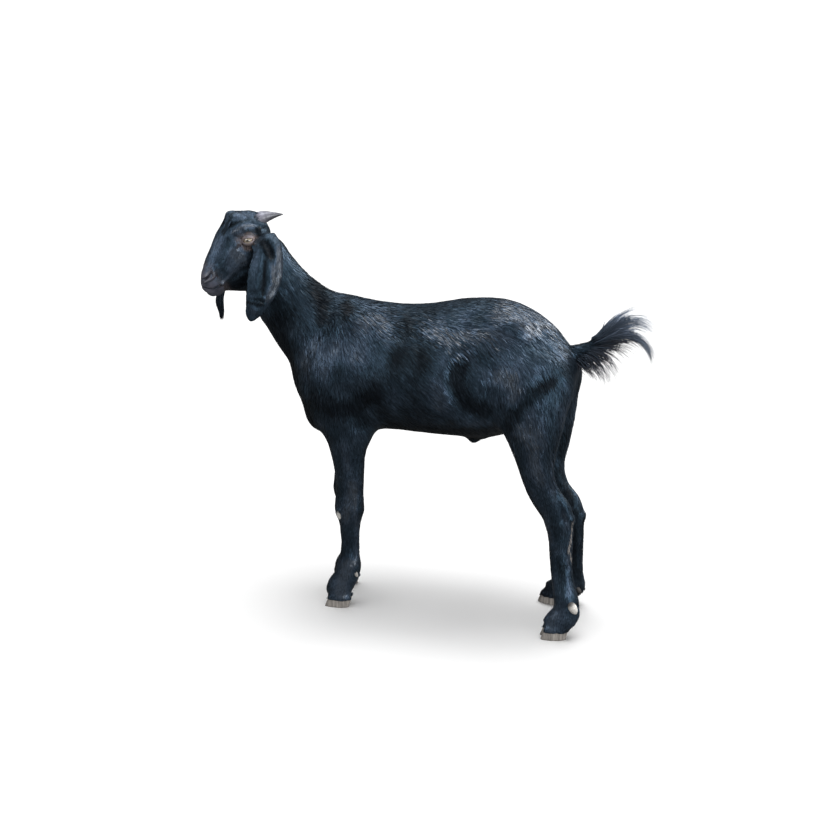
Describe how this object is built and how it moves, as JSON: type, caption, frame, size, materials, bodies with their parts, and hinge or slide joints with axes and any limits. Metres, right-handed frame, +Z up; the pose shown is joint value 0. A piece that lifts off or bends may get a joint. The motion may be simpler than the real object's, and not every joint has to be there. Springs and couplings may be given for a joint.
{
  "type": "goat",
  "caption": "Life-size still model of a young black lop-eared goat, standing, head turned to its left, short horns laid back, small beard and raised tail.",
  "frame": {"origin": "on the floor, under the middle of the model's box", "axes": "+X from the head towards the tail, +Y towards the goat's right side, +Z up"},
  "size_m": [0.9394, 0.224, 0.8664],
  "materials": {
    "coat": "short, flat, glossy blue-black hair over skin",
    "ear": "thin hanging ear with very short black hair",
    "long_hair": "long loose black hair of tail and beard, brownish at thin tips",
    "horn": "smooth dark grey horn, paler on top",
    "eye": "wet eyeball, pale amber iris with a level slit pupil",
    "hoof": "pale cream hoof horn with upright streaks",
    "dewclaw": "pale worn horn"
  },
  "bodies": {
    "root": {"head": "coat", "neck": "coat", "trunk": "coat", "foreleg_left": "coat", "foreleg_right": "coat", "hindleg_left": "coat", "hindleg_right": "coat", "ear_left": "ear", "ear_right": "ear", "tail": "long_hair", "beard": "long_hair", "horn_left": "horn", "horn_right": "horn", "eye_left": "eye", "eye_right": "eye", "claw_fore_left_inner": "hoof", "claw_fore_left_outer": "hoof", "claw_fore_right_inner": "hoof", "claw_fore_right_outer": "hoof", "claw_hind_left_inner": "hoof", "claw_hind_left_outer": "hoof", "claw_hind_right_inner": "hoof", "claw_hind_right_outer": "hoof", "dewclaw_fore_left_inner": "dewclaw", "dewclaw_fore_left_outer": "dewclaw", "dewclaw_fore_right_inner": "dewclaw", "dewclaw_fore_right_outer": "dewclaw", "dewclaw_hind_left_inner": "dewclaw", "dewclaw_hind_left_outer": "dewclaw", "dewclaw_hind_right_inner": "dewclaw", "dewclaw_hind_right_outer": "dewclaw"}
  },
  "joints": []
}
